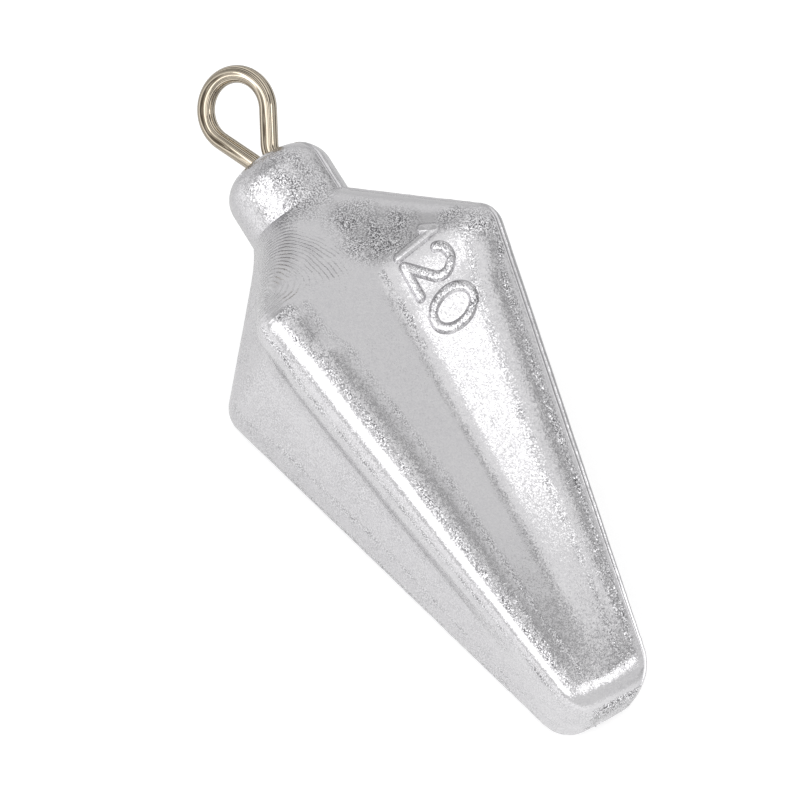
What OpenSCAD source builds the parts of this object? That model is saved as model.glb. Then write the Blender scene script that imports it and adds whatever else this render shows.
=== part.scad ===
// Cast lead fishing sinker, 120 g, lying on two of its four fins.
// The casting is drawn along its own axis, from the tip at zero to the eye,
// and is then laid down so that two fin crests rest on the floor.

/* [Casting] */
// Width across two opposite fins where their crest and upper lines meet
fin_w = 31; // [27:0.1:40]
// Height of that meeting point above the tip
shoulder_h = 39.4; // [30:0.1:60]
// Width across two opposite fins where their crest lines meet the flat tip
tip_w = 9.8; // [8.8:0.1:12]
// Angle between the upper edge of a fin and the axis
upper_angle = 48.7; // [38:0.1:58]
// Width across two opposite valleys at the shoulder
valley_w = 17.5; // [15:0.1:21]
// Width across two opposite valleys where their lines meet the flat tip
tip_valley_w = 8.2; // [6.5:0.1:8.4]
// Rounding across a fin's crest at the shoulder, and of its corner there
crest_round = 2.1; // [1:0.1:2.6]
// Rounding across a fin's crest at the tip
tip_crest_round = 0.8; // [0.5:0.1:1.5]
// Stretch of flank that each valley's hollow takes up on either side
valley_soft = 1.6; // [0.8:0.1:2.5]
// Rounding along a valley where it turns in to the neck
valley_bend = 8; // [4:0.5:12]
// Radius of the rounding where the fins turn into the flat tip
tip_round = 3.5; // [2:0.1:3.6]

/* [Neck] */
// Diameter of the neck where it leaves the fins
neck_d = 9.4; // [8:0.1:12]
// Length of the neck above the fins
neck_h = 5.8; // [4:0.1:9]
// Rounding of the neck's top edge
neck_round = 2.5; // [0.5:0.1:3]

/* [Eye] */
// Diameter of the wire
wire_d = 1.5; // [1:0.05:1.8]
// Clear width inside the ring of the eye
eye_d = 4.5; // [3.5:0.1:7]
// Height of the top of the eye above the neck
eye_reach = 9; // [8:0.1:13]
// Distance by which the ring leans to the side of its seamed fin
eye_lean = 0.3; // [0:0.05:0.6]
// Inner radius of the bends where the legs come together
leg_bend = 1.4; // [1:0.1:2]
// Gap between the two legs inside the neck
leg_gap = 0.2; // [0.1:0.05:0.6]
// Depth below the neck's top at which the legs splay
wire_depth = 11; // [9:0.5:16]
// Angle by which each leg's foot splays
foot_angle = 50; // [30:1:80]
// Straight length of the foot at the end of each leg
foot_len = 1.6; // [1:0.1:3]

/* [Mould marks] */
// Height of the parting seam above the casting
seam_h = 0.12; // [0.05:0.01:0.3]
// Width of the parting seam
seam_w = 0.5; // [0.3:0.05:1]
// Length of the cut gate on the tip, along the parting plane
gate_l = 3.6; // [2.8:0.1:3.8]
// Width of the cut gate on the tip
gate_w = 2.2; // [1.5:0.1:2.6]
// Height of the cut gate
gate_h = 0.12; // [0.05:0.01:0.4]

/* [Weight figure] */
// Height of the raised figures, on the middle of their strokes
figure_h = 3.8; // [2.5:0.1:4.4]
// Width of the figures' strokes
stroke_w = 0.8; // [0.4:0.05:1]
// Height of the figures above the flank
figure_rise = 0.3; // [0.15:0.05:0.6]
// Distance from the bottom of the valley to the foot of the figures
figure_lift = 2.1; // [1:0.1:2.6]
// Distance from the shoulder line up to the foot of the first figure
figure_back = 0.25; // [0:0.05:0.6]
// Angle by which the figures lean back
figure_lean = 10; // [0:1:15]

/* [Hidden] */
$fn = 64;

fins = 4;
fin_pitch = 360 / fins;
valley_dir = [cos(fin_pitch / 2), sin(fin_pitch / 2)];

// Slopes of the crest and valley lines against the axis
crest_slope = (fin_w - tip_w) / 2 / shoulder_h;
valley_slope = (valley_w - tip_valley_w) / 2 / shoulder_h;
upper_slope = -tan(upper_angle);
neck_r = neck_d / 2;
neck_z = shoulder_h + (neck_r - fin_w / 2) / upper_slope;
neck_top_z = neck_z + neck_h;
valley_upper_slope = (neck_r - valley_w / 2) / (neck_z - shoulder_h);
// The fins' upper faces run on a little inside the neck, and the neck inside them
root_sink_share = 0.1;
root_z = neck_z - neck_r * root_sink_share / upper_slope;
neck_sink_share = 0.35;
neck_sink = neck_h * neck_sink_share;

// Radius at height z of a line that turns at a rounded corner
function bend_run(s1, s2, rad) = rad * tan((atan(s1) - atan(s2)) / 2);
function bend_z1(z0, s1, s2, rad) = z0 - bend_run(s1, s2, rad) * cos(atan(s1));
function bend_z2(z0, s1, s2, rad) = z0 + bend_run(s1, s2, rad) * cos(atan(s2));
function bent(z, z0, r0, s1, s2, rad) =
    let (
        z1 = bend_z1(z0, s1, s2, rad),
        mid_z = z1 + rad * sin(atan(s1)),
        mid_r = r0 - s1 * (z0 - z1) - rad * cos(atan(s1))
    )
    z < z1 ? r0 + s1 * (z - z0)
    : z > bend_z2(z0, s1, s2, rad) ? r0 + s2 * (z - z0)
    : mid_r + sqrt(pow(rad, 2) - pow(z - mid_z, 2));

// Share to which a section shrinks as it rounds into the flat tip
tip_mid_r = tip_w / 2 + crest_slope * tip_round - tip_round / cos(atan(crest_slope));
tip_end_z = tip_round * (1 - sin(atan(crest_slope)));
function tip_share(z) =
    z >= tip_end_z ? 1
    : (tip_mid_r + sqrt(pow(tip_round, 2) - pow(tip_round - z, 2))) / (tip_w / 2 + crest_slope * z);

// Crest and valley radii of the casting at height z, and the crest's rounding
function mix(a, b, share) = a + (b - a) * share;
function crest_r(z) = bent(z, shoulder_h, fin_w / 2, crest_slope, upper_slope, crest_round);
function valley_r(z) = bent(z, shoulder_h, valley_w / 2, valley_slope, valley_upper_slope, valley_bend);
function crest_c(z) = mix(tip_crest_round, crest_round, min(z / shoulder_h, 1));

// Half of the angle between the flanks of a fin with a sharp crest at radius a
function wedge(a, v) = atan2(v * valley_dir[1], a - v * valley_dir[0]);
// Radius of the sharp crest whose rounding by c ends at radius r
wedge_steps = 6;
function apex(r, v, c, n = wedge_steps) =
    n == 0 ? r : r + c * (1 / sin(wedge(apex(r, v, c, n - 1), v)) - 1);

// Half a fin's outline at height z, from the crest to the valley
crest_steps = 3;
flank_steps = 2;
valley_steps = 3;
function lerp_point(p, q, share) = p + (q - p) * share;
function curve_point(p, q, r, share) =
    lerp_point(lerp_point(p, q, share), lerp_point(q, r, share), share);
function half_fin(z) =
    let (
        v = valley_r(z),
        c = crest_c(z),
        a = apex(crest_r(z), v, c),
        w = wedge(a, v),
        crest_mid = [a - c / sin(w), 0],
        crest_end = crest_mid + c * [sin(w), cos(w)],
        valley = v * valley_dir,
        down = (valley - crest_end) / norm(valley - crest_end),
        soft = min(valley_soft * crest_r(z) / (fin_w / 2), norm(valley - crest_end) / 2),
        valley_start = valley - soft * down,
        valley_end = valley - soft * [down[1], down[0]]
    )
    concat(
        [for (i = [0:crest_steps])
            let (t = (fin_pitch - w) * i / crest_steps)
            crest_mid + c * [cos(t), sin(t)]],
        [for (i = [1:flank_steps]) lerp_point(crest_end, valley_start, i / flank_steps)],
        [for (i = [1:valley_steps])
            curve_point(valley_start, valley, valley_end, i / valley_steps / 2)]
    );

// The fins fade into soft lobes above the shoulder, and into a round root at the neck
function fade_share(z) = pow(max(min((z - shoulder_h) / (neck_z - shoulder_h), 1), 0), 2);
function lobe_point(angle, z) =
    mix(valley_r(z), crest_r(z), (1 + cos(fins * angle)) / 2) * [cos(angle), sin(angle)];
function faded(p, angle, z) = lerp_point(p, lobe_point(angle, z), fade_share(z));
function turned(p, angle) =
    [p[0] * cos(angle) - p[1] * sin(angle), p[0] * sin(angle) + p[1] * cos(angle)];
function whole_fin(z) =
    let (half = half_fin(z), last = len(half) - 1)
    concat(
        [for (i = [last - 1:-1:1]) [half[i][0], -half[i][1]]],
        half
    );
function section(z) =
    let (fin = whole_fin(z), n = len(fin))
    [for (k = [0:fins - 1]) for (i = [0:n - 1])
        tip_share(z) * turned(faded(fin[i], (i + 1) * fin_pitch / n - fin_pitch / 2, z), k * fin_pitch)];

// Heights of the sections: close together where the casting curves
tip_steps = 6;
crest_rows = 6;
corner_steps = 6;
upper_rows = 7;
corner_z1 = bend_z1(shoulder_h, crest_slope, upper_slope, crest_round);
corner_z2 = bend_z2(shoulder_h, crest_slope, upper_slope, crest_round);
tip_turn = 90 - atan(crest_slope);
heights = concat(
    [for (i = [0:tip_steps - 1]) tip_round * (1 - cos(tip_turn * i / tip_steps))],
    [for (i = [0:crest_rows]) mix(tip_end_z, corner_z1, i / crest_rows)],
    [for (i = [1:corner_steps]) mix(corner_z1, corner_z2, i / corner_steps)],
    [for (i = [1:upper_rows]) mix(corner_z2, root_z, i / upper_rows)]
);
fin_points = [for (z = heights) for (p = section(z)) concat(p, z)];
// Faces of a closed tube of n points a ring, with its two ends
function tube_faces(n, rings) = concat(
    [[for (i = [0:n - 1]) i]],
    [for (k = [0:rings - 2]) for (i = [0:n - 1])
        let (a = k * n + i, b = k * n + (i + 1) % n) each [[a, a + n, b], [b, a + n, b + n]]],
    [[for (i = [n - 1:-1:0]) (rings - 1) * n + i]]
);

// Two joined circles' common tangent: the angle of its normal, on the side given
function cross_normal(a, b, reach, side) =
    atan2(b[1] - a[1], b[0] - a[0]) + side * acos(reach / norm(b - a));

// The wire's middle line, in the parting plane: across the casting, then up its axis
ring_r = (eye_d + wire_d) / 2;
bend_r = leg_bend + wire_d / 2;
leg_x = (wire_d + leg_gap) / 2;
ring_mid = [eye_lean, neck_top_z + eye_reach - wire_d / 2 - ring_r];
splay_z = neck_top_z - wire_depth;
function bend_centre(side) = [side * (leg_x + bend_r), neck_top_z];
function leg_normal(side) = cross_normal(ring_mid, bend_centre(side), ring_r + bend_r, side);
function on_ring(angle) = ring_mid + ring_r * [cos(angle), sin(angle)];
function on_bend(side, angle) = bend_centre(side) - bend_r * [cos(angle), sin(angle)];
function splay_centre(side) = [side * (leg_x + bend_r), splay_z];
function foot_start(side) =
    splay_centre(side) - bend_r * [side * cos(foot_angle), sin(foot_angle)];

// The part's place on the floor: laid on two fins, the eye's end a little higher
depths = [for (z = heights) max([for (p = section(z)) p * valley_dir])];
lean_guess = crest_slope * valley_dir[0];
function rest_row(from, to) =
    let (drops = [for (i = [from:to]) depths[i] - lean_guess * heights[i]])
    from + search(max(drops), drops)[0];
tip_row = rest_row(0, tip_steps + 1);
shoulder_row = rest_row(tip_steps + 2, len(heights) - 1);
lay_tilt = atan((depths[shoulder_row] - depths[tip_row]) / (heights[shoulder_row] - heights[tip_row]));
lay_roll = 180 + fin_pitch / 2;
function laid(p) =
    let (q = turned(p, lay_roll), up = -q[0])
    [p[2] * cos(lay_tilt) - up * sin(lay_tilt), q[1], p[2] * sin(lay_tilt) + up * cos(lay_tilt)];
laid_points = [for (p = fin_points) laid(p)];
lay_z = -min([for (p = laid_points) p[2]]);
tip_x = min(concat(
    [for (p = laid_points) p[0]],
    [for (i = [-1, 1]) for (k = [-1, 1]) laid([i * gate_l / 2, k * gate_w / 2, -gate_h])[0]]
));
ring_up = cos(fin_pitch / 2) * sin(lay_tilt);
eye_x = laid([ring_mid[0], 0, ring_mid[1]])[0] + wire_d / 2
    + ring_r * sqrt(pow(cos(lay_tilt), 2) + pow(ring_up, 2));
lay_x = -(tip_x + eye_x) / 2;
module lay_down() {
    translate([lay_x, 0, lay_z])
        rotate([0, 90 - lay_tilt, 0])
            rotate([0, 0, lay_roll])
                children();
}

// The four-finned casting below the neck
module fins_form() {
    rows = len(heights);
    polyhedron(points = fin_points, faces = tube_faces(len(fin_points) / rows, rows));
}

// Outline of half the neck with its top edge rounded, grown by a margin
module neck_outline(grow) {
    side = neck_r + grow;
    top = neck_sink + neck_h + grow;
    edge = neck_round + grow;
    square([side, top - edge]);
    square([side - edge, top]);
    intersection() {
        translate([side - edge, top - edge])
            circle(r = edge);
        square([side, top]);
    }
}

// The round neck
module neck_form() {
    translate([0, 0, neck_z - neck_sink])
        rotate_extrude()
            neck_outline(0);
}

// The thin seam left where the two halves of the mould met
module seam() {
    low_z = mix(heights[1], heights[2], 1 / 2);
    rows = concat([low_z], [for (z = heights) if (z > low_z && z < neck_z) z], [neck_z]);
    crest_line = [for (z = rows) [tip_share(z) * crest_r(z) + seam_h, z]];
    rotate([90, 0, 0])
        linear_extrude(seam_w, center = true)
            for (side = [0, 1])
                mirror([side, 0]) {
                    polygon(concat([[0, low_z]], crest_line, [[0, neck_z]]));
                    translate([0, neck_z - neck_sink])
                        neck_outline(seam_h);
                }
}

// The gate on the tip where the lead was poured, cut off nearly flush
module gate() {
    bar = gate_l - gate_w;
    translate([0, 0, -gate_h])
        linear_extrude(gate_h + tip_round) {
            square([bar, gate_w], center = true);
            for (side = [-1, 1])
                translate([side * bar / 2, 0])
                    circle(d = gate_w);
        }
}

// Strokes of the figures: a straight bar and an arc, both with round ends
module bar_stroke(p, q) {
    run = q - p;
    translate(p)
        rotate(atan2(run[1], run[0])) {
            translate([0, -stroke_w / 2])
                square([norm(run), stroke_w]);
            circle(d = stroke_w);
            translate([norm(run), 0])
                circle(d = stroke_w);
        }
}
arc_steps = 16;
function oval(mid, rx, ry, a1, a2) =
    [for (i = [0:arc_steps])
        let (a = a1 + (a2 - a1) * i / arc_steps)
        mid + [rx * cos(a), ry * sin(a)]];
module arc_stroke(mid, rx, ry, a1, a2) {
    half = stroke_w / 2;
    outer = oval(mid, rx + half, ry + half, a1, a2);
    inner = oval(mid, rx - half, ry - half, a2, a1);
    polygon(concat(outer, inner));
}

// Widths and places of the figures as shares of their height
one_flag_shares = [-0.19, 0.74];
two_width_share = 0.75;
two_turn_share = 0.3;
nought_width_share = 0.75;
two_start_share = 0.25;
nought_start_share = 1.24;
module figure_one() {
    foot = [0, 0];
    top = [0, figure_h];
    bar_stroke(foot, top);
    bar_stroke(top, figure_h * one_flag_shares);
}
module figure_two() {
    w = figure_h * two_width_share;
    r = figure_h * two_turn_share;
    foot = [0, 0];
    mid = [w / 2, figure_h - r];
    lean = atan2(mid[1], mid[0]) - asin(r / norm(mid));
    hook = 160;
    arc_stroke(mid, r, r, lean - 90, hook);
    translate(mid + r * [cos(hook), sin(hook)])
        circle(d = stroke_w);
    bar_stroke(foot, mid + r * [sin(lean), -cos(lean)]);
    bar_stroke(foot, [w, 0]);
}
module figure_nought() {
    w = figure_h * nought_width_share;
    difference() {
        polygon(oval([w / 2, figure_h / 2], (w + stroke_w) / 2, (figure_h + stroke_w) / 2, 0, 360));
        polygon(oval([w / 2, figure_h / 2], (w - stroke_w) / 2, (figure_h - stroke_w) / 2, 0, 360));
    }
}

// Frame of the figured flank: down along the valley, out to the crest, and off the lead
figured_dir = [valley_dir[0], -valley_dir[1]];
flank_foot = concat(valley_w / 2 * figured_dir, shoulder_h);
flank_top = [apex(fin_w / 2, valley_w / 2, crest_round), 0, shoulder_h];
function unit(v) = v / norm(v);
flank_down = unit(concat(-valley_slope * figured_dir, -1));
flank_off = unit(cross(flank_down, flank_top - flank_foot));
flank_out = cross(flank_off, flank_down);
module on_flank() {
    o = flank_foot + figure_lift * flank_out - figure_back * flank_down;
    multmatrix([
        [flank_down[0], flank_out[0], flank_off[0], o[0]],
        [flank_down[1], flank_out[1], flank_off[1], o[1]],
        [flank_down[2], flank_out[2], flank_off[2], o[2]],
        [0, 0, 0, 1]
    ])
        children();
}

// The weight in grams, raised on one flank
module weight_figure() {
    on_flank()
        translate([0, 0, -stroke_w])
            linear_extrude(stroke_w + figure_rise)
                multmatrix([[1, -tan(figure_lean), 0, 0], [0, 1, 0, 0], [0, 0, 1, 0], [0, 0, 0, 1]]) {
                    figure_one();
                    translate([figure_h * two_start_share, 0])
                        figure_two();
                    translate([figure_h * nought_start_share, 0])
                        figure_nought();
                }
}

// The wire as it is bent: from one foot round the ring to the other foot.
// Each row is a straight length, the turn that follows it, and the turn's radius.
function leg_turn(side) = side > 0 ? -leg_normal(1) : 180 + leg_normal(-1);
function slant_len(side) = norm(on_ring(leg_normal(side)) - on_bend(side, leg_normal(side)));
wire_bends = [
    [foot_len, -foot_angle, bend_r],
    [wire_depth, -leg_turn(-1), bend_r],
    [slant_len(-1), 180 + leg_turn(-1) + leg_turn(1), ring_r],
    [slant_len(1), -leg_turn(1), bend_r],
    [wire_depth, -foot_angle, bend_r],
    [foot_len, 0, bend_r]
];
bend_step = 12;
function along(h) = [sin(h), cos(h)];
function across(h) = [cos(h), -sin(h)];
function arc_stops(p, h, turn, r) =
    let (n = ceil(abs(turn) / bend_step), mid = p + sign(turn) * r * across(h))
    turn == 0 ? []
    : [for (k = [1:n]) [mid - sign(turn) * r * across(h + turn * k / n), h + turn * k / n]];
// Stops along the wire: each a place in the parting plane and a heading there
function wire_stops(i, p, h) =
    i == len(wire_bends) ? []
    : let (
        bar_end = p + wire_bends[i][0] * along(h),
        stops = concat([[bar_end, h]], arc_stops(bar_end, h, wire_bends[i][1], wire_bends[i][2])),
        last = stops[len(stops) - 1]
    )
    concat(stops, wire_stops(i + 1, last[0], last[1]));
wire_start = foot_start(-1) - foot_len * along(foot_angle);
stops = concat([[wire_start, foot_angle]], wire_stops(0, wire_start, foot_angle));
wire_sides = 16;
wire_points = [for (s = stops) for (k = [0:wire_sides - 1])
    let (a = 360 * k / wire_sides, side = s[0] + wire_d / 2 * cos(a) * across(s[1]))
    [side[0], wire_d / 2 * sin(a), side[1]]];
module wire_form() {
    polyhedron(points = wire_points, faces = tube_faces(wire_sides, len(stops)));
}

module cast_body() {
    color("gainsboro")
        lay_down()
            difference() {
                union() {
                    fins_form();
                    neck_form();
                    seam();
                    gate();
                    weight_figure();
                }
                wire_form();
            }
}

module wire_eye() {
    color("wheat")
        lay_down()
            wire_form();
}

cast_body();
wire_eye();
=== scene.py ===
import math
import random

import bpy
import numpy as np
from mathutils import Matrix, Vector, noise


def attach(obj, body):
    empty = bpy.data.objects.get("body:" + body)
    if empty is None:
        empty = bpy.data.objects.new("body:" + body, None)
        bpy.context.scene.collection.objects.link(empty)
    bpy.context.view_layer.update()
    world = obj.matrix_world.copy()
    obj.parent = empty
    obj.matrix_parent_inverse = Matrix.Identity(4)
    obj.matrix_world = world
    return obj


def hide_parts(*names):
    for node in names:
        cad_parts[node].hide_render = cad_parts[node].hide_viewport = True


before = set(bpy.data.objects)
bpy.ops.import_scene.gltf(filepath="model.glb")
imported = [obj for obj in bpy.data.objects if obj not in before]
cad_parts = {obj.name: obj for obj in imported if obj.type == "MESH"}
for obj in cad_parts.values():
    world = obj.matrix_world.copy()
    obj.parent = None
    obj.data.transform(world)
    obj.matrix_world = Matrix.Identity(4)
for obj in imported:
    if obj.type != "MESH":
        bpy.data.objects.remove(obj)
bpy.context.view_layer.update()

# The casting is one pour of hardened lead in a mould of two halves: four fins and a neck.
# It is drawn upright, in millimetres, from the tip at zero, and is then laid on two fins.
# Its rings of points are extruded from a disc, and the marks of the mould are joined on.
MM = 0.001
fin_w, shoulder_h, tip_w, upper_angle = 30.99, 39.4, 9.79, 48.7
valley_w, tip_valley_w, valley_bend, valley_soft = 17.5, 8.2, 8.0, 1.6
crest_round, tip_crest_round, tip_round = 2.1, 0.8, 3.5
neck_r, neck_h, neck_round = 4.7, 5.8, 2.5
fins, resting_fins = 4, (1, 2)
pitch = math.tau / fins
half_pitch = pitch / 2

crest_slope = (fin_w - tip_w) / 2 / shoulder_h
valley_slope = (valley_w - tip_valley_w) / 2 / shoulder_h
upper_slope = -math.tan(math.radians(upper_angle))
neck_z = shoulder_h + (neck_r - fin_w / 2) / upper_slope
neck_top = neck_z + neck_h
valley_upper_slope = (neck_r - valley_w / 2) / (neck_z - shoulder_h)


def bend_run(s1, s2, rad):
    """Length that a rounded corner between two slopes takes up on either side."""
    return rad * math.tan((math.atan(s1) - math.atan(s2)) / 2)


def bent(z, z0, r0, s1, s2, rad):
    """Radius at height z of a line that turns from slope s1 to s2 at a rounded corner."""
    run = bend_run(s1, s2, rad)
    z1, z2 = z0 - run * math.cos(math.atan(s1)), z0 + run * math.cos(math.atan(s2))
    if z < z1:
        return r0 + s1 * (z - z0)
    if z > z2:
        return r0 + s2 * (z - z0)
    mid_z = z1 + rad * math.sin(math.atan(s1))
    mid_r = r0 - s1 * (z0 - z1) - rad * math.cos(math.atan(s1))
    return mid_r + math.sqrt(rad**2 - (z - mid_z) ** 2)


def crest_at(z):
    """Radius of the crests at height z."""
    return bent(z, shoulder_h, fin_w / 2, crest_slope, upper_slope, crest_round)


def valley_at(z):
    """Radius of the valleys' bottoms at height z."""
    return bent(z, shoulder_h, valley_w / 2, valley_slope, valley_upper_slope, valley_bend)


def fade_at(z):
    """How far the fins have faded into the neck's round root at height z."""
    return min(max((z - shoulder_h) / (neck_z - shoulder_h), 0), 1)


# A crest is rounded tightly along its middle and more gently on its two cheeks. The tight
# rounding turns further near the shoulder, and on the two fins that the sinker lies on.
crest_turn, full_turn, full_drop, full_reach, full_gain = 34.0, 41.5, 0.7, 4.0, 1.5
cheek_round, cheek_share, sharp_share = 6.5, 0.62, 0.7


def turn_at(z, resting):
    """Turn of the tight rounding at height z."""
    near_shoulder = max(0.0, 1 - (abs(z - shoulder_h + full_drop) / full_reach) ** 2)
    share = 1 if resting else min(full_gain * near_shoulder, 1)
    return math.radians(crest_turn + (full_turn - crest_turn) * share)


def cheek_and_flank(z, resting=False):
    """At height z: both roundings and their middles, the turns where they end, and the valley."""
    r, v = crest_at(z), valley_at(z)
    c = tip_crest_round + (crest_round - tip_crest_round) * min(z / shoulder_h, 1)
    wide = c + (min(cheek_round, cheek_share * r) - c) * (1 - fade_at(z))
    first = np.array((r - c, 0.0))
    valley = v * np.array((math.cos(half_pitch), math.sin(half_pitch)))
    run = valley - first
    sharp_turn = math.atan2(run[1], run[0]) - math.acos(min(c / np.linalg.norm(run), 1))
    change = min(turn_at(z, resting), sharp_share * sharp_turn)
    second = first + (c - wide) * np.array((math.cos(change), math.sin(change)))
    run = valley - second
    flank_turn = math.atan2(run[1], run[0]) - math.acos(min(wide / np.linalg.norm(run), 1))
    return c, wide, first, second, change, max(flank_turn, change), valley


# Columns of points on half a fin: close together on the seam and on the groove beside it,
# then over the crest and its cheek, down the flank and into the valley's hollow
seam_columns = (0.0, 0.08, 0.13, 0.16, 0.22, 0.29, 0.36, 0.48, 0.53, 0.59, 0.72)
seam_ridge = (1.0, 1.0, 0.95, 0.3, -0.5, -0.55, -0.05, 0.0, -0.6, 0.0, 0.0)
crest_columns, cheek_columns, flank_columns, valley_columns = 5, 7, 18, 8
half_columns = len(seam_columns) + crest_columns + cheek_columns + flank_columns + valley_columns
seam_h, seam_low, seam_full_round, seam_share = 0.11, 0.62, 1.5, 0.8


def half_section(z, resting):
    """Points of half a fin's outline at height z, from the crest to the valley."""
    c, wide, first, second, change, flank_turn, valley = cheek_and_flank(z, resting)
    narrow = min(c / seam_full_round, 1, seam_share * change * c / seam_columns[-1])
    turns = [s * narrow / c for s in seam_columns]
    turns += [turns[-1] + (change - turns[-1]) * (i + 1) / crest_columns for i in range(crest_columns)]
    points = [first + c * np.array((math.cos(t), math.sin(t))) for t in turns]
    for i in range(cheek_columns):
        t = change + (flank_turn - change) * (i + 1) / cheek_columns
        points.append(second + wide * np.array((math.cos(t), math.sin(t))))
    flank_top = points[-1]
    run = valley - flank_top
    down = run / np.linalg.norm(run)
    soft = min(valley_soft * crest_at(z) / (fin_w / 2), np.linalg.norm(run) / 2)
    start, end = valley - soft * down, valley - soft * down[::-1]
    points += [flank_top + (start - flank_top) * (i + 1) / flank_columns for i in range(flank_columns)]
    for i in range(valley_columns):
        t = (i + 1) / valley_columns / 2
        points.append(start * (1 - t) ** 2 + 2 * t * (1 - t) * valley + t * t * end)
    return np.array(points)


plain_columns = half_columns - len(seam_columns)
neck_turns = [s / neck_r for s in seam_columns]
neck_turns += [neck_turns[-1] + (half_pitch - neck_turns[-1]) * (i + 1) / plain_columns for i in range(plain_columns)]
ridge = list(seam_ridge) + [0.0] * plain_columns
skin_waves, most_sunk = ((0.018, 2.4), (0.006, 0.8)), 0.02
random.seed(12)


def ring_at(z):
    """One closed ring of points at height z, with the seam raised on two fins and waves in the skin."""
    r, v = crest_at(min(z, neck_z)), valley_at(min(z, neck_z))
    lobes = [(v + (r - v) * (1 + math.cos(fins * t)) / 2) * np.array((math.cos(t), math.sin(t))) for t in neck_turns]
    rise = np.array(ridge[-2:0:-1] + ridge)
    shrink = 1.0
    if z < tip_end:
        shrink = (tip_mid + math.sqrt(max(tip_round**2 - (tip_round - z) ** 2, 0))) / (tip_w / 2 + crest_slope * z)
    if z > neck_edge:
        shrink = (neck_r - neck_round + math.sqrt(max(neck_round**2 - (z - neck_edge) ** 2, 0))) / neck_r
    ring = []
    for k in range(fins):
        a = k * pitch
        half = half_section(min(z, neck_z), k in resting_fins)
        half = half + (np.array(lobes) - half) * fade_at(z) ** 2
        fin = np.concatenate([half[-2:0:-1] * (1, -1), half])
        turned = fin @ np.array(((math.cos(a), math.sin(a)), (-math.sin(a), math.cos(a)))) * shrink
        if k % 2 == 0:
            height = seam_h * (seam_low + (1 - seam_low) * random.random())
            turned = turned + rise[:, None] * height * np.array((math.cos(a), math.sin(a)))
        ring.append(turned)
    ring = np.concatenate(ring)
    for i, (x, y) in enumerate(ring):
        place = Vector((x, y, z))
        sunk = sum(deep * (1 + noise.noise(place / long)) for deep, long in skin_waves)
        ring[i] *= 1 - min(sunk / max(math.hypot(x, y), 1), most_sunk)
    return ring


tip_mid = tip_w / 2 + crest_slope * tip_round - tip_round / math.cos(math.atan(crest_slope))
tip_end = tip_round * (1 - math.sin(math.atan(crest_slope)))
neck_edge = neck_top - neck_round
corner_run = bend_run(crest_slope, upper_slope, crest_round)
corner_low = shoulder_h - corner_run * math.cos(math.atan(crest_slope))
corner_high = shoulder_h + corner_run * math.cos(math.atan(upper_slope))
tip_turn = math.pi / 2 - math.atan(crest_slope)

tip_rings, fin_rings, corner_rings, upper_rings, neck_rings, top_rings = 12, 96, 16, 24, 10, 14
root_gap = 0.1
heights = [tip_round * (1 - math.cos(tip_turn * i / tip_rings)) for i in range(tip_rings)]
heights += list(np.linspace(tip_end, corner_low, fin_rings, endpoint=False))
heights += list(np.linspace(corner_low, corner_high, corner_rings, endpoint=False))
heights += list(np.linspace(corner_high, neck_z - root_gap, upper_rings))
heights += [neck_z, neck_z + root_gap]
heights += list(np.linspace(neck_z + 3 * root_gap, neck_edge, neck_rings, endpoint=False))
heights += [neck_edge + neck_round * math.sin(math.pi / 2 * i / top_rings) for i in range(top_rings + 1)]

# The bar of rings is extruded from a disc, and each ring's points are then set on its
# section, because a crest's rounding that shrinks towards the tip is more than a bevel does
ring_count = fins * (2 * half_columns - 2)
step = 0.4
bpy.ops.object.select_all(action="DESELECT")
bpy.ops.mesh.primitive_circle_add(vertices=ring_count, radius=neck_r, fill_type="NGON")
casting = bpy.context.object
casting.name = "lead_casting"
bpy.ops.object.mode_set(mode="EDIT")
for _ in heights[1:]:
    bpy.ops.mesh.extrude_region_move(TRANSFORM_OT_translate={"value": (0, 0, step)})
bpy.ops.object.mode_set(mode="OBJECT")


def points_of(piece):
    """The mesh's points, as an array with a row for each."""
    flat = np.zeros(len(piece.data.vertices) * 3)
    piece.data.vertices.foreach_get("co", flat)
    return flat.reshape(-1, 3)


def move_points(piece, places):
    """Puts the mesh's points at new places, in metres."""
    piece.data.vertices.foreach_set("co", np.asarray(places, dtype=float).ravel())
    piece.data.update()


now = points_of(casting)
rows = np.rint(now[:, 2] / step).astype(int)
columns = np.rint(np.arctan2(now[:, 1], now[:, 0]) / math.tau * ring_count).astype(int) % ring_count
rings = [ring_at(z) for z in heights]
move_points(casting, np.array([(*rings[r][c], heights[r]) for r, c in zip(rows, columns)]) * MM)


def outward(piece):
    """Turns all faces of a closed piece outwards."""
    bpy.ops.object.select_all(action="DESELECT")
    piece.select_set(True)
    bpy.context.view_layer.objects.active = piece
    bpy.ops.object.mode_set(mode="EDIT")
    bpy.ops.mesh.select_all(action="SELECT")
    bpy.ops.mesh.normals_make_consistent(inside=False)
    bpy.ops.object.mode_set(mode="OBJECT")


outward(casting)

# The figures were cut into the mould with a tapered cutter, so they stand raised on one
# flank with sloping sides. They give the weight in grams, and lean back a little.
figure_h, figure_lift, figure_back, figure_lean = 3.8, 2.1, 0.25, math.radians(10)
stroke_foot, stroke_top, figure_rise, figure_sink = 0.92, 0.48, 0.3, 0.5
stroke_edge, edge_rise, end_steps = 0.05, 0.03, 10
foot_dir = np.array((math.cos(half_pitch), -math.sin(half_pitch), 0))
flank_foot = np.array((*(valley_w / 2 * foot_dir[:2]), shoulder_h))
_, wide, _, second, _, flank_turn, _ = cheek_and_flank(shoulder_h)
cheek_end = second + wide * np.array((math.cos(flank_turn), math.sin(flank_turn)))
flank_top = np.array((cheek_end[0], -cheek_end[1], shoulder_h))
flank_down = np.array((*(-valley_slope * foot_dir[:2]), -1.0))
flank_down /= np.linalg.norm(flank_down)
flank_off = np.cross(flank_down, flank_top - flank_foot)
flank_off /= np.linalg.norm(flank_off)
flank_out = np.cross(flank_off, flank_down)
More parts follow.
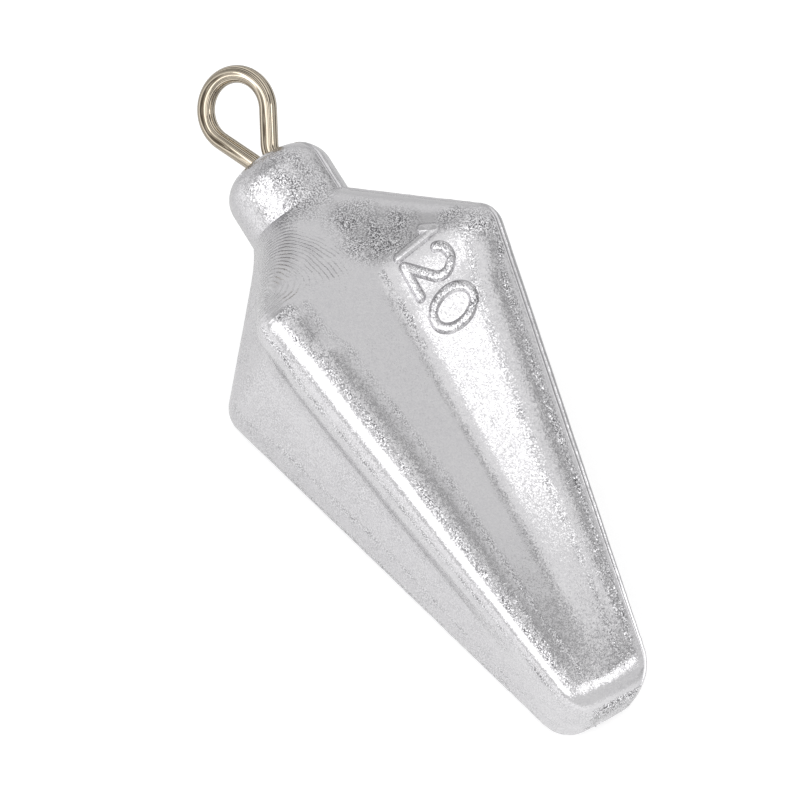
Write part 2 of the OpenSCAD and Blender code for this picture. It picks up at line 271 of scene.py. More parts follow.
figure_at = flank_foot + figure_lift * flank_out - figure_back * flank_down


def on_flank(along, out, off):
    """A place of the figures, at the same height off the flank where it bends and where it is flat."""
    place = figure_at + (along - out * math.tan(figure_lean)) * flank_down + out * flank_out
    _, wide, _, second, _, turn, _ = cheek_and_flank(place[2])
    run = np.array((place[0], -place[1])) - second
    turn = min(turn, math.atan2(run[1], run[0])) if run[0] > 0 else turn
    clear = run @ np.array((math.cos(turn), math.sin(turn))) - wide
    lean = flank_off[0] * math.cos(turn) - flank_off[1] * math.sin(turn)
    return place + (off - clear / lean) * flank_off


def arc(mid, rx, ry, start, end, steps):
    """Points along an arc of an oval."""
    turns = np.radians(np.linspace(start, end, steps + 1))
    return [np.array((mid[0] + rx * math.cos(t), mid[1] + ry * math.sin(t))) for t in turns]


def stroke_outline(line, width):
    """A closed outline round a line, with round ends."""
    half = width / 2
    runs = [(b - a) / np.linalg.norm(b - a) for a, b in zip(line, line[1:])]
    bends = [runs[0]] + [a + b for a, b in zip(runs, runs[1:])] + [runs[-1]]
    heads = [math.atan2(bend[1], bend[0]) for bend in bends]
    left = [p + half * np.array((-math.sin(t), math.cos(t))) for p, t in zip(line, heads)]
    right = [p - half * np.array((-math.sin(t), math.cos(t))) for p, t in zip(line, heads)]
    last, first = math.degrees(heads[-1]), math.degrees(heads[0])
    far_end = arc(line[-1], half, half, last + 90, last - 90, end_steps)[1:-1]
    near_end = arc(line[0], half, half, first + 270, first + 90, end_steps)[1:-1]
    return left + far_end + right[::-1] + near_end


def raise_strokes(piece):
    """Sinks the outline's back into the lead, and draws its face up with sloping sides."""
    bpy.ops.mesh.extrude_region_move(TRANSFORM_OT_translate={"value": (0, 0, figure_sink)})
    bpy.ops.mesh.inset(thickness=(stroke_foot - stroke_top) / 2, depth=figure_rise)
    bpy.ops.mesh.inset(thickness=stroke_edge, depth=edge_rise)
    bpy.ops.object.mode_set(mode="OBJECT")
    move_points(piece, [on_flank(x, y, z - figure_sink) * MM for x, y, z in points_of(piece)])
    outward(piece)


def straight(a, b, steps):
    """Points along a straight line."""
    return [a + (b - a) * i / steps for i in range(steps + 1)]


h = figure_h
one_flag = np.array((-0.19 * h, 0.74 * h))
two_w, two_r, two_x, nought_x, nought_w = 0.75 * h, 0.3 * h, 0.25 * h, 1.24 * h, 0.75 * h
two_mid, two_start = np.array((two_w / 2, h - two_r)), 160
two_lean = math.degrees(math.atan2(two_mid[1], two_mid[0]) - math.asin(two_r / np.linalg.norm(two_mid)))
foot = np.array((0.0, 0.0))
bow = arc(two_mid, two_r, two_r, two_start, two_lean - 90, 22)
shift = np.array((two_x, 0.0))
one_lines = [straight(foot, np.array((0.0, h)), 8), straight(np.array((0.0, h)), one_flag, 4)]
two_lines = [bow + straight(bow[-1], foot, 6)[1:], straight(foot, np.array((two_w, 0.0)), 8)]
stroke_lines = one_lines + [[p + shift for p in line] for line in two_lines]
figures = []
for line in stroke_lines:
    outline = stroke_outline(line, stroke_foot)
    bpy.ops.object.select_all(action="DESELECT")
    bpy.ops.mesh.primitive_circle_add(vertices=len(outline), radius=1.0, fill_type="NGON")
    stroke = bpy.context.object
    order = np.argsort(np.arctan2(points_of(stroke)[:, 1], points_of(stroke)[:, 0]))
    flat = np.zeros((len(outline), 3))
    flat[order, :2] = outline[::-1]
    move_points(stroke, flat)
    bpy.ops.object.mode_set(mode="EDIT")
    bpy.ops.mesh.select_all(action="SELECT")
    raise_strokes(stroke)
    figures.append(stroke)

bpy.ops.object.select_all(action="DESELECT")
bpy.ops.mesh.primitive_circle_add(vertices=48, radius=1.0, fill_type="NOTHING")
nought = bpy.context.object
hole_w, hole_h = nought_w - stroke_foot, h - stroke_foot
nought.scale = (hole_w / 2, hole_h / 2, 1)
bpy.ops.object.transform_apply(location=False, rotation=False, scale=True)
bpy.ops.object.mode_set(mode="EDIT")
bpy.ops.mesh.select_all(action="SELECT")
bpy.ops.mesh.extrude_region_move()
bpy.ops.transform.resize(value=((nought_w + stroke_foot) / hole_w, (h + stroke_foot) / hole_h, 1))
bpy.ops.mesh.select_all(action="SELECT")
bpy.ops.transform.translate(value=(nought_x + nought_w / 2, h / 2, 0))
raise_strokes(nought)
figures.append(nought)

# The gate is where the lead was poured. It was snapped off nearly flush, so its face is
# rough and grainy inside an uneven edge, with a small torn lip at one end. It rises least
# on the side that faces up, where it would reach past the end of the casting.
gate_l, gate_w, gate_h, gate_deep, gate_corner = 3.9, 2.2, 0.12, 0.8, 2.6
margin_l, margin_w, sheet_gap = 1.2, 1.3, 1
gate_turn, gate_at = math.radians(-45), (0.95, -0.95, 0)
edge_waves, edge_slope, edge_high = ((0.16, 0.9, 3.0), (0.1, 0.35, 9.0)), 0.9, 0.35
face_waves, face_mid = ((0.5, 0.42, 20.0), (0.35, 0.16, 31.0)), 0.5
end_lean, end_low = 0.138, 0.42


def uneven(x, y, waves):
    """Unevenness of a broken face: a sum of noises, each with its height, length and level."""
    return sum(high * noise.noise(Vector((x, y, level)) / long) for high, long, level in waves)


bpy.ops.object.select_all(action="DESELECT")
bpy.ops.mesh.primitive_grid_add(x_subdivisions=44, y_subdivisions=28, size=1.0)
gate = bpy.context.object
bpy.ops.object.mode_set(mode="EDIT")
bpy.ops.mesh.select_all(action="SELECT")
bpy.ops.transform.resize(value=(gate_l * margin_l, gate_w * margin_w, 1))
bpy.ops.mesh.extrude_region_move(TRANSFORM_OT_translate={"value": (0, 0, -sheet_gap)})
bpy.ops.object.mode_set(mode="OBJECT")

# The grid's lower sheet is the gate's face, and its upper one is sunk in the casting
places = points_of(gate)
for p in places:
    if p[2] < -sheet_gap / 2:
        x, y = p[0], p[1]
        edge = 1 + uneven(x, y, edge_waves)
        out = (abs(x) / (gate_l / 2)) ** gate_corner + (abs(y) / (gate_w / 2)) ** gate_corner
        rise = gate_h * min(max(face_mid + uneven(x, y, face_waves), 0.0), 1.0)
        p[2] = -rise if out < edge else min((out - edge) * edge_slope, edge_high)
    else:
        p[2] = gate_deep
places = places @ np.array(Matrix.Rotation(gate_turn, 3, "Z")) + gate_at
places[:, 2] = np.maximum(places[:, 2], end_lean * (places[:, 0] - places[:, 1]) - end_low)
move_points(gate, places * MM)
outward(gate)

lip_r, lip_end_r, lip_l, lip_flat, lip_rough, lip_grain = 0.42, 0.05, 0.9, 0.6, 0.06, 0.3
lip_at, lip_lean = (-2.05, 0.9, 0.36), math.radians(24)
bpy.ops.object.select_all(action="DESELECT")
bpy.ops.mesh.primitive_cone_add(vertices=14, radius1=lip_r, radius2=lip_end_r, depth=lip_l, location=(0, 0, 0))
lip = bpy.context.object
bpy.ops.object.mode_set(mode="EDIT")
bpy.ops.mesh.select_all(action="SELECT")
bpy.ops.mesh.subdivide(number_cuts=1)
bpy.ops.transform.resize(value=(1, lip_flat, 1))
bpy.ops.object.mode_set(mode="OBJECT")
places = points_of(lip)
places = np.array([(x + lip_rough * noise.noise(Vector((x, y, z)) / lip_grain), y, -z) for x, y, z in places])
lip_turn = np.array(Matrix.Rotation(lip_lean, 3, "Y"))
move_points(lip, (places @ lip_turn.T + lip_at) * MM)
outward(lip)

# Gas left a few small pits on the neck and beside the crests. They are cut with small balls.
pit_rough, pit_grain = 0.3, 1.2
pits = [
    (3.6, -2.97, 51.82, 0.15), (3.75, -2.77, 50.29, 0.14), (4.32, -1.77, 49.46, 0.12), (1.45, -4.45, 49.35, 0.17),
    (-0.88, -3.51, 54.22, 0.2), (-1.57, 0.77, 0.0, 0.2), (2.92, -12.81, 37.45, 0.12), (3.21, -12.01, 36.42, 0.1),
]
cutters = []
for x, y, z, pit_r in pits:
    bpy.ops.object.select_all(action="DESELECT")
    bpy.ops.mesh.primitive_ico_sphere_add(subdivisions=2, radius=pit_r * MM, location=(x * MM, y * MM, z * MM))
    ball = bpy.context.object
    bpy.ops.object.transform_apply(location=True, rotation=False, scale=False)
    places = points_of(ball)
    mid = places.mean(axis=0)
    grain = pit_r * pit_grain * MM
    places = np.array([mid + (p - mid) * (1 + pit_rough * noise.noise(Vector(p) / grain)) for p in places])
    move_points(ball, places)
    cutters.append(ball)


def boolean(piece, way, tool):
    """Joins a tool to a piece, or cuts it away, and removes the tool."""
    cut = piece.modifiers.new("join", "BOOLEAN")
    cut.operation, cut.object, cut.solver = way, tool, "MANIFOLD"
    bpy.ops.object.select_all(action="DESELECT")
    piece.select_set(True)
    bpy.context.view_layer.objects.active = piece
    bpy.ops.object.modifier_apply(modifier=cut.name)
    bpy.data.objects.remove(tool)


marks = figures[0]
for tool in figures[1:] + [gate, lip]:
    boolean(marks, "UNION", tool)
boolean(casting, "UNION", marks)
for tool in cutters[1:]:
    boolean(cutters[0], "UNION", tool)
boolean(casting, "DIFFERENCE", cutters[0])

# Laid down on two fins, its eye's end a little higher than its tip
lay_tilt, lay_roll, tip_place = math.radians(11.0294), math.radians(225), (-31.0013, 0, 3.81282)
laid = Matrix.Rotation(math.pi / 2 - lay_tilt, 4, "Y") @ Matrix.Rotation(lay_roll, 4, "Z")
laid = Matrix.Translation(Vector(tip_place) * MM) @ laid


def above_section(x, y, z):
    """Height of a point on the figures' side of their fin above the smooth section."""
    _, wide, _, second, _, turn, _ = cheek_and_flank(min(max(z, 0), neck_z))
    run = np.array((x, -y)) - second
    t = min(turn, math.atan2(run[1], run[0]))
    return run @ np.array((math.cos(t), math.sin(t))) - wide


def closeness(p, spot, reach):
    """1 at a spot, falling to 0 at its reach."""
    away = math.dist(p, spot) / reach
    return max(0.0, 1 - away * away)


def ramp(value, start, fade):
    """0 up to a start, rising to 1 over the fade."""
    return min(max((value - start) / fade, 0), 1)


# Where the lead froze first it is frosted with coarse grains that tilt, and there its colour is
# painted with dark and bright specks: painted shade and painted glints of grains that miss or
# catch the light. Where it flowed up under the neck it set in fine ripples. Each point carries
# a level of both, which the lead's material reads. A frosted spot is given by its place, its
# reach and its level.
frost_spots = [
    ((5.6, -3.5, 45.0), 2.9, 0.85), ((6.7, -4.5, 42.6), 3.3, 0.9), ((8.2, -3.8, 42.0), 3.0, 0.85),
    ((12.9, -2.5, 40.1), 1.8, 1.0), ((14.2, -1.8, 38.6), 1.8, 0.9), ((1.7, -14.4, 38.9), 1.0, 0.8),
    ((2.6, -3.9, 50.6), 4.4, 0.8),
]
far_side_frost = 0.2
frost_lines, lines_from, lines_fade = ((37, 3.2, 0.85), (60, 3.5, 0.45)), 1.5, 2
low_frost, low_top, low_fade = 0.35, 14, 5
figure_frost, figure_low, figure_high, clear_flank, clear_shoulder = 0.55, 32, 42, 0.04, 0.2
one_frost, one_reach, one_low = 0.1, 0.7, 38
gate_frost, gate_frost_z, gate_frost_half, gate_along, gate_across = 1.3, 0.2, 3.2, 0.3, 1.2
frost_least, frost_gain, ragged_mid, ragged_gain, ragged_size = 0.35, 1.3, 0.5, 0.7, 1.3
ripple_mid, ripple_reach, ripple_edge = (-0.6, -12.4, 42.0), 10, 4
ripple_low, ripple_fade, ripple_least = 38.5, 1.5, 0.4
casting_smooth_deg = 35
one_line = [on_flank(x, y, figure_rise) for x, y in stroke_lines[0] + stroke_lines[1]]
frost, ripple = [], []
for p in points_of(casting) / MM:
    x, y, z = p
    turn = (math.atan2(y, x) + half_pitch) % pitch - half_pitch
    r = math.hypot(x, y)
    ragged = ragged_mid + ragged_gain * noise.noise(Vector(p) / ragged_size)
    level = max(share * closeness(p, spot, reach) for spot, reach, share in frost_spots)
    if x < 0 and y < 0:
        level = max(level, far_side_frost)
    if z < shoulder_h:
        _, _, _, second, change, flank_turn, _ = cheek_and_flank(max(z, 0))
        run = np.array((r * math.cos(turn), abs(r * math.sin(turn)))) - second
        lean = math.atan2(run[1], run[0])
        off_tip = ramp(z, lines_from, lines_fade)
        for line_deg, line_half, share in frost_lines:
            beside = (math.degrees(lean) - line_deg) / line_half
            level = max(level, share * off_tip * math.exp(-(beside**2)))
        if change < lean < flank_turn:
            level = max(level, low_frost * off_tip * ramp(low_top, z, low_fade))
    clear = clear_flank if z < shoulder_h else clear_shoulder
    if figure_low < z < figure_high and 0 < -y < x and above_section(x, y, z) > clear:
        level = figure_frost
    if z > one_low and min(math.dist(p, q) for q in one_line) < one_reach:
        level = one_frost
    if z < gate_frost_z and max(abs(x + y - gate_along), abs(x - y - gate_across)) < gate_frost_half:
        level = gate_frost
    frost.append(min(max(level * (frost_least + frost_gain * ragged), 0.0), 1.0))
    around_mid = ramp(ripple_reach, math.dist(p, ripple_mid), ripple_edge)
    broken = ripple_least + (1 - ripple_least) * min(ragged, 1)
    ripple.append(ramp(z, ripple_low, ripple_fade) * around_mid * broken)
for name, levels in (("frost", frost), ("ripple", ripple)):
    layer = casting.data.attributes.new(name, "FLOAT", "POINT")
    layer.data.foreach_set("value", levels)
casting.data.transform(laid)
bpy.ops.object.shade_smooth_by_angle(angle=math.radians(casting_smooth_deg))


def linear(colour):
    """An sRGB hex colour as the linear values that a shader reads."""
    parts = [int(colour[i : i + 2], 16) / 255 for i in (0, 2, 4)]
    return tuple(c / 12.92 if c <= 0.04045 else ((c + 0.055) / 1.055) ** 2.4 for c in parts) + (1.0,)


def add_node(tree, kind, settings=None, inputs=None):
    """A node with its settings, and its sockets set to values or linked to other sockets."""
    node = tree.nodes.new(kind)
    for name, value in (settings or {}).items():
        setattr(node, name, value)
    for name, value in (inputs or {}).items():
        if isinstance(value, bpy.types.NodeSocket):
            tree.links.new(value, node.inputs[name])
        else:
            node.inputs[name].default_value = value
    return node


# Cast lead: satin grey where the mould was smooth, with fine frosty grains that sparkle
# wherever a reflection begins or ends. In frosted zones the colour is speckled with painted
# shade and painted glints, dark and bright specks that stand in for grains missing or catching
# the light. Grains and ripples are drawn coarser than real, so that they show in the picture.
grain_size, cloud_size, ripple_pitch = 0.12 * MM, 4 * MM, 0.45 * MM
grain_deep, ripple_deep = 0.012 * MM, 0.06 * MM
lead = bpy.data.materials.new("cast_lead")
lead.use_nodes = True
tree = lead.node_tree
tree.nodes.clear()
coords = add_node(tree, "ShaderNodeTexCoord").outputs["Object"]
frost_and_painted_specks = add_node(tree, "ShaderNodeAttribute", {"attribute_name": "frost"}).outputs["Fac"]
rippled = add_node(tree, "ShaderNodeAttribute", {"attribute_name": "ripple"}).outputs["Fac"]
cloud = add_node(tree, "ShaderNodeTexNoise", None, {"Vector": coords, "Scale": 1 / cloud_size, "Detail": 3.0})
grains = add_node(tree, "ShaderNodeTexVoronoi", None, {"Vector": coords, "Scale": 1 / grain_size})
shade = add_node(tree, "ShaderNodeMix", {"data_type": "FLOAT"},
                 {"Factor": 0.3, "A": grains.outputs["Color"], "B": cloud.outputs["Fac"]})
tone = add_node(tree, "ShaderNodeMix", {"data_type": "RGBA"},
                {"Factor": shade.outputs["Result"], 6: linear("c6c5c8"), 7: linear("d8d7d8")})
spots = add_node(tree, "ShaderNodeTexNoise", None, {"Vector": coords, "Scale": 1 / grain_size, "Detail": 1.0})
# Dark specks of painted shade and bright specks of painted glint, as strong as the frost level
for low, high, colour in ((0.47, 0.6, "525155"), (0.46, 0.36, "f6f6f8")):
    painted_speck = add_node(tree, "ShaderNodeMapRange", None,
                       {"Value": spots.outputs["Fac"], "From Min": low, "From Max": high, "To Max": 0.95})
    painted_speck = add_node(tree, "ShaderNodeMath", {"operation": "MULTIPLY"}, {0: painted_speck.outputs["Result"], 1: frost_and_painted_specks})
    tone = add_node(tree, "ShaderNodeMix", {"data_type": "RGBA"},
                    {0: painted_speck.outputs[0], 6: tone.outputs[2], 7: linear(colour)})

# Each grain's face is tilted its own way, and more so in the frosted zones
tilt_size = add_node(tree, "ShaderNodeMapRange", None, {"Value": frost_and_painted_specks, "To Min": 0.1, "To Max": 0.42})
tilt = add_node(tree, "ShaderNodeVectorMath", {"operation": "SUBTRACT"},
                {0: grains.outputs["Color"], 1: (0.5, 0.5, 0.5)})
tilt = add_node(tree, "ShaderNodeVectorMath", {"operation": "SCALE"},
                {0: tilt.outputs["Vector"], "Scale": tilt_size.outputs["Result"]})
normal = add_node(tree, "ShaderNodeNewGeometry").outputs["Normal"]
facet = add_node(tree, "ShaderNodeVectorMath", {"operation": "ADD"}, {0: normal, 1: tilt.outputs["Vector"]})
facet = add_node(tree, "ShaderNodeVectorMath", {"operation": "NORMALIZE"}, {0: facet.outputs["Vector"]})
fine = add_node(tree, "ShaderNodeTexNoise", None,
                {"Vector": coords, "Scale": 1 / grain_size, "Detail": 2.0, "Roughness": 0.6})
bump = add_node(tree, "ShaderNodeBump", None, {
    "Height": fine.outputs["Fac"], "Strength": 1.0, "Distance": grain_deep, "Normal": facet.outputs["Vector"],
})
from_mid = add_node(tree, "ShaderNodeVectorMath", {"operation": "SUBTRACT"},
                    {0: coords, 1: tuple(laid @ (Vector(ripple_mid) * MM))})
waves = add_node(tree, "ShaderNodeTexWave", {"wave_type": "RINGS", "rings_direction": "SPHERICAL"}, {
    "Vector": from_mid.outputs["Vector"], "Scale": math.tau / 20 / ripple_pitch,
    "Distortion": 5.0, "Detail": 2.0, "Detail Scale": 0.5,
})
waves = add_node(tree, "ShaderNodeMath", {"operation": "MULTIPLY"}, {0: waves.outputs["Fac"], 1: rippled})
bump = add_node(tree, "ShaderNodeBump", None, {
    "Height": waves.outputs[0], "Strength": 1.0, "Distance": ripple_deep, "Normal": bump.outputs["Normal"],
})
skin = add_node(tree, "ShaderNodeBsdfPrincipled", None,
                {"Base Color": tone.outputs[2], "Metallic": 1.0, "Roughness": 0.15, "Normal": bump.outputs["Normal"]})
add_node(tree, "ShaderNodeOutputMaterial", None, {"Surface": skin.outputs["BSDF"]})
casting.data.materials.clear()
casting.data.materials.append(lead)
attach(casting, "root")
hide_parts("cast_body")

# The eye is one length of bright steel wire, bent round a pin into a pear-shaped ring. Its
# legs run down side by side inside the neck, and their ends splay so that they can't pull out.
# A circle of points is extruded along the straight runs and spun round the bends.
wire_r, ring_r, bend_r, foot_l, foot_deg = 0.75, 3.0, 2.15, 1.6, 50.0
leg_x, wire_deep, ring_x, ring_z = 0.85, 11.0, 0.3, 59.932
wire_sides, run_step, bend_step_deg, wire_smooth_deg = 40, 0.3, 5, 40
ring_mid = np.array((ring_x, ring_z))


def bend_mid(side):
    """Middle of the bend between a leg and the ring."""
    return np.array((side * (leg_x + bend_r), neck_top))


def leg_normal(side):
    """Turn of the line that both the ring and a leg's bend touch, crossing between them."""
    run = bend_mid(side) - ring_mid
    off = math.degrees(math.acos((ring_r + bend_r) / np.linalg.norm(run)))
    return math.degrees(math.atan2(run[1], run[0])) + side * off


def slant(side):
    """Length of the straight wire between the ring and a leg's bend."""
    t = math.radians(leg_normal(side))
    off = np.array((math.cos(t), math.sin(t)))
    return np.linalg.norm(ring_mid + ring_r * off - (bend_mid(side) - bend_r * off))


def beside_wire(turn):
    """Direction in the ring's plane, square to a wire that has turned so far."""
    return np.array((math.cos(turn), -math.sin(turn)))


turn_a, turn_b = 180 + leg_normal(-1), -leg_normal(1)
bends = [
    (foot_l, -foot_deg, bend_r), (wire_deep, -turn_a, bend_r), (slant(-1), 180 + turn_a + turn_b, ring_r),
    (slant(1), -turn_b, bend_r), (wire_deep, -foot_deg, bend_r), (foot_l, 0, bend_r),
]
splay = np.array((-(leg_x + bend_r), neck_top - wire_deep))
head = math.radians(foot_deg)
at = splay + bend_r * beside_wire(head) - foot_l * np.array((math.sin(head), math.cos(head)))
bpy.ops.object.select_all(action="DESELECT")
bpy.ops.mesh.primitive_circle_add(vertices=wire_sides, radius=wire_r * MM, fill_type="NOTHING",
                                  location=(at[0] * MM, 0, at[1] * MM), rotation=(0, head, 0))
eye = bpy.context.object
eye.name = "wire_ring"
bpy.ops.object.transform_apply(location=True, rotation=True, scale=False)
bpy.ops.object.mode_set(mode="EDIT")
bpy.ops.mesh.select_all(action="SELECT")
for length, turn, radius in bends:
    run = np.array((math.sin(head), math.cos(head)))
    pieces = max(round(length / run_step), 1)
    move = tuple(v * MM * length / pieces for v in (run[0], 0, run[1]))
    for _ in range(pieces):
        bpy.ops.mesh.extrude_region_move(TRANSFORM_OT_translate={"value": move})
    at = at + length * run
    if turn:
        mid = at + np.sign(turn) * radius * beside_wire(head)
        bpy.ops.mesh.spin(steps=max(round(abs(turn) / bend_step_deg), 2), angle=-math.radians(turn),
                          center=(mid[0] * MM, 0, mid[1] * MM), axis=(0, 1, 0))
        head += math.radians(turn)
        at = mid - np.sign(turn) * radius * beside_wire(head)
bpy.ops.mesh.select_all(action="SELECT")
bpy.ops.mesh.remove_doubles(threshold=0.0005 * MM)
bpy.ops.mesh.fill_holes(sides=0)
bpy.ops.object.mode_set(mode="OBJECT")
outward(eye)
eye.data.transform(laid)
bpy.ops.object.shade_smooth_by_angle(angle=math.radians(wire_smooth_deg))

# Bright drawn wire: warm like tinned steel, almost a mirror, with dark and bright bands
# painted along it by which way its face turns, as painted reflections that wander a little
# and also raise faint draw marks in its bump, and faint nicks from the pliers
streaks_across, wander_size, nick_size, nick_deep, streak_deep = 7.0, 5 * MM, 0.5 * MM, 0.012 * MM, 0.01 * MM
wire = bpy.data.materials.new("bright_drawn_wire")
wire.use_nodes = True
tree = wire.node_tree
tree.nodes.clear()
coords = add_node(tree, "ShaderNodeTexCoord").outputs["Object"]
normal = add_node(tree, "ShaderNodeNewGeometry").outputs["Normal"]
ring_side = tuple(laid.to_3x3() @ Vector((0, 1, 0)))
# The bands follow the face's turn towards the ring's side: a painted highlight and painted dark reflections
across = add_node(tree, "ShaderNodeVectorMath", {"operation": "DOT_PRODUCT"}, {0: normal, 1: ring_side})
wander = add_node(tree, "ShaderNodeTexNoise", None, {"Vector": coords, "Scale": 1 / wander_size, "Detail": 1.0})
streak_at = add_node(tree, "ShaderNodeMath", {"operation": "MULTIPLY_ADD"},
                     {0: across.outputs["Value"], 1: streaks_across, 2: wander.outputs["Fac"]})
marks_and_painted_sheen = add_node(tree, "ShaderNodeTexNoise", {"noise_dimensions": "1D"},
                   {"W": streak_at.outputs[0], "Scale": 1.0, "Detail": 3.0, "Roughness": 0.6})
marks_and_painted_sheen = add_node(tree, "ShaderNodeMapRange", None,
                   {"Value": marks_and_painted_sheen.outputs["Fac"], "From Min": 0.44, "From Max": 0.56})
tone = add_node(tree, "ShaderNodeMix", {"data_type": "RGBA"},
                {0: marks_and_painted_sheen.outputs["Result"], 6: linear("453d33"), 7: linear("e6dac6")})
nicks = add_node(tree, "ShaderNodeTexNoise", None, {"Vector": coords, "Scale": 1 / nick_size, "Detail": 2.0})
bump = add_node(tree, "ShaderNodeBump", None,
                {"Height": nicks.outputs["Fac"], "Strength": 1.0, "Distance": nick_deep})
bump = add_node(tree, "ShaderNodeBump", None, {
    "Height": marks_and_painted_sheen.outputs["Result"], "Strength": 1.0, "Distance": streak_deep, "Normal": bump.outputs["Normal"],
})
skin = add_node(tree, "ShaderNodeBsdfPrincipled", None,
                {"Base Color": tone.outputs[2], "Metallic": 1.0, "Roughness": 0.09, "Normal": bump.outputs["Normal"]})
add_node(tree, "ShaderNodeOutputMaterial", None, {"Surface": skin.outputs["BSDF"]})
eye.data.materials.append(wire)
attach(eye, "root")
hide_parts("wire_eye")

# The floor is a plain white sheet, grey beyond a line just right of the picture: painted
# shade, so that the lead mirrors it darker on its right. It glows a little to the camera, so
# that the paper shows nearly white beside the sinker's soft shadow. To the lead and the wire
# it glows more on its left part: a painted pool of light, which they mirror brighter there.
floor_size, sheet_end, sheet_fade = 3.0, 37.0, 8.0
to_left, to_right, seen_glow = (-0.45, 0.89, 0), (-0.535, -0.845, 0), 0.5
bpy.ops.object.select_all(action="DESELECT")
bpy.ops.mesh.primitive_plane_add(size=floor_size)
floor = bpy.context.object
floor.name = "floor"
white = bpy.data.materials.new("white_sheet")
white.use_nodes = True
tree = white.node_tree
tree.nodes.clear()
path = add_node(tree, "ShaderNodeLightPath")
seen = add_node(tree, "ShaderNodeMath", {"operation": "MAXIMUM"},
                {0: path.outputs["Is Camera Ray"], 1: path.outputs["Is Transmission Ray"]})
ground = add_node(tree, "ShaderNodeTexCoord").outputs["Object"]
leftward = add_node(tree, "ShaderNodeVectorMath", {"operation": "DOT_PRODUCT"}, {0: ground, 1: to_left})
# Painted light seen only in reflections: the sheet glows brighter towards its left
mirrored = add_node(tree, "ShaderNodeMapRange", None, {
    "Value": leftward.outputs["Value"], "From Min": -0.02, "From Max": 0.03, "To Min": 0.06, "To Max": 0.55,
})
mirrored = add_node(tree, "ShaderNodeMath", {"operation": "MULTIPLY"},
                    {0: mirrored.outputs["Result"], 1: path.outputs["Is Glossy Ray"]})
glow = add_node(tree, "ShaderNodeMath", {"operation": "MULTIPLY_ADD"},
                {0: seen.outputs[0], 1: seen_glow, 2: mirrored.outputs[0]})
# Painted shade: the sheet turns grey beyond a line on its right, and the lead mirrors it darker
rightward = add_node(tree, "ShaderNodeVectorMath", {"operation": "DOT_PRODUCT"}, {0: ground, 1: to_right})
beyond = add_node(tree, "ShaderNodeMapRange", {"interpolation_type": "SMOOTHSTEP"}, {
    "Value": rightward.outputs["Value"], "From Min": sheet_end * MM, "From Max": (sheet_end + sheet_fade) * MM,
})
colour = add_node(tree, "ShaderNodeMix", {"data_type": "RGBA"},
                  {0: beyond.outputs["Result"], 6: linear("cfcfcf"), 7: linear("a8a8a8")})
sheet = add_node(tree, "ShaderNodeBsdfDiffuse", None, {"Color": colour.outputs[2]})
light = add_node(tree, "ShaderNodeEmission", None, {"Strength": glow.outputs[0]})
both = add_node(tree, "ShaderNodeAddShader", None, {0: sheet.outputs[0], 1: light.outputs[0]})
add_node(tree, "ShaderNodeOutputMaterial", None, {"Surface": both.outputs[0]})
floor.data.materials.append(white)

# The camera stands where the photograph was taken from, half a metre off. It looks down on
# the sinker, whose eye points to the upper left of the picture and its tip to the lower right.
camera_at, aim = Vector((-205.085, 159.014, 433.334)) * MM, Vector((0.668, 0.367, 7.918)) * MM
camera_up, lens_mm, sensor_mm = Vector((0.73743, -0.43319, 0.51821)), 271.87, 36
back_dir = (camera_at - aim).normalized()
side = camera_up.cross(back_dir).normalized()
up = back_dir.cross(side)
camera = bpy.data.objects.new("camera", bpy.data.cameras.new("camera"))
bpy.context.scene.collection.objects.link(camera)
camera.matrix_world = Matrix((
    (side.x, up.x, back_dir.x, camera_at.x),
    (side.y, up.y, back_dir.y, camera_at.y),
    (side.z, up.z, back_dir.z, camera_at.z),
    (0, 0, 0, 1),
))
camera.data.lens, camera.data.sensor_width = lens_mm, sensor_mm
camera.data.clip_start = 0.01
bpy.context.scene.camera = camera

# A long soft box shines from the left of the camera, a weaker one from nearer the eye's end
# and a small one from the lower right. Each is placed by two angles, one round the sinker's
# axis from the camera's side and one along it.
box_away = 0.8
axis = (laid.to_3x3() @ Vector((0, 0, 1))).normalized()
front = (back_dir - back_dir.dot(axis) * axis).normalized()
aside = axis.cross(front)
if aside.dot(side) < 0:
    aside = -aside


def towards(round_deg, along_deg):
    """A direction from the sinker, round its axis and along it."""
    a, b = math.radians(round_deg), math.radians(along_deg)
    return (front * math.cos(a) + aside * math.sin(a)) * math.cos(b) + axis * math.sin(b)


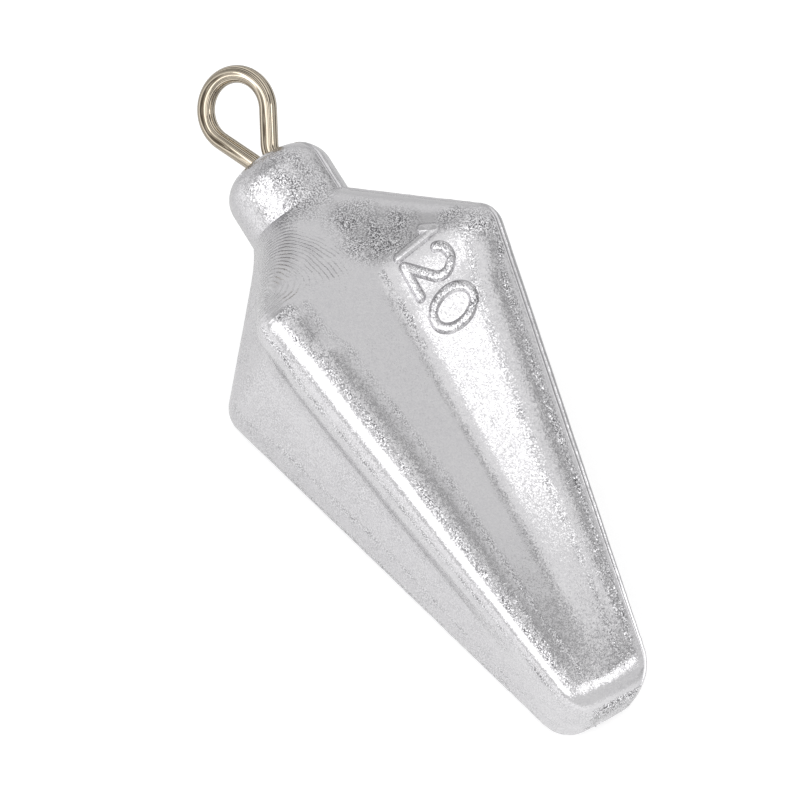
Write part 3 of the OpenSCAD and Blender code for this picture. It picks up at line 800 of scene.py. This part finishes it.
def soft_box(name, round_deg, along_deg, slant_deg, wide, long, radiance):
    """A lamp that faces the sinker, with its long side slanted off the sinker's axis."""
    direction, tilt = towards(round_deg, along_deg), math.radians(slant_deg)
    lamp = bpy.data.lights.new(name, "AREA")
    lamp.shape, lamp.size, lamp.size_y = "RECTANGLE", wide, long
    lamp.energy = radiance * math.pi * wide * long
    box = bpy.data.objects.new(name, lamp)
    bpy.context.scene.collection.objects.link(box)
    across = axis.cross(direction).normalized()
    if across.dot(aside) < 0:
        across = -across
    along = axis - axis.dot(direction) * direction
    along.normalize()
    x = across * math.cos(tilt) + along * math.sin(tilt)
    y = direction.cross(x)
    place = aim + direction * box_away
    box.matrix_world = Matrix((
        (x.x, y.x, direction.x, place.x),
        (x.y, y.y, direction.y, place.y),
        (x.z, y.z, direction.z, place.z),
        (0, 0, 0, 1),
    ))


soft_box("main_box", round_deg=-24.5, along_deg=-4.5, slant_deg=43, wide=0.675, long=1.35, radiance=1.15)
soft_box("upper_panel", round_deg=12, along_deg=18, slant_deg=54, wide=0.5, long=0.95, radiance=0.2)
soft_box("right_box", round_deg=41, along_deg=-28, slant_deg=0, wide=0.28, long=0.22, radiance=1.4)

# The room is bright all round, with three darker patches: two on the right, which the faces
# that turn right mirror as dark lines, and one past the eye, mirrored under the neck. Each has
# its direction, the angles where it is full and where it ends, and its share of the light.
dark_patches = [((46, -12), 8, 14, 0.48), ((110, -2), 14, 25, 0.45), ((-5, 61), 14, 32, 0.72)]
world = bpy.data.worlds.new("studio")
bpy.context.scene.world = world
world.use_nodes = True
tree = world.node_tree
tree.nodes.clear()
path = add_node(tree, "ShaderNodeLightPath")
sky = add_node(tree, "ShaderNodeTexCoord").outputs["Generated"]
room_light = 0.9
for direction, full_deg, none_deg, share in dark_patches:
    facing = add_node(tree, "ShaderNodeVectorMath", {"operation": "DOT_PRODUCT"},
                      {0: sky, 1: tuple(towards(*direction))})
    full, none = math.cos(math.radians(full_deg)), math.cos(math.radians(none_deg))
    patch = add_node(tree, "ShaderNodeMapRange", {"interpolation_type": "SMOOTHSTEP"}, {
        "Value": facing.outputs["Value"], "From Min": none, "From Max": full, "To Min": 1.0, "To Max": share,
    })
    room_light = add_node(tree, "ShaderNodeMath", {"operation": "MULTIPLY"},
                          {0: patch.outputs["Result"], 1: room_light}).outputs[0]
shown = add_node(tree, "ShaderNodeMix", {"data_type": "FLOAT"},
                 {"Factor": path.outputs["Is Camera Ray"], "A": room_light, "B": 1.0})
back = add_node(tree, "ShaderNodeBackground", None, {"Color": (1, 1, 1, 1), "Strength": shown.outputs["Result"]})
add_node(tree, "ShaderNodeOutputWorld", None, {"Surface": back.outputs[0]})

bpy.context.scene.view_settings.view_transform = "Standard"
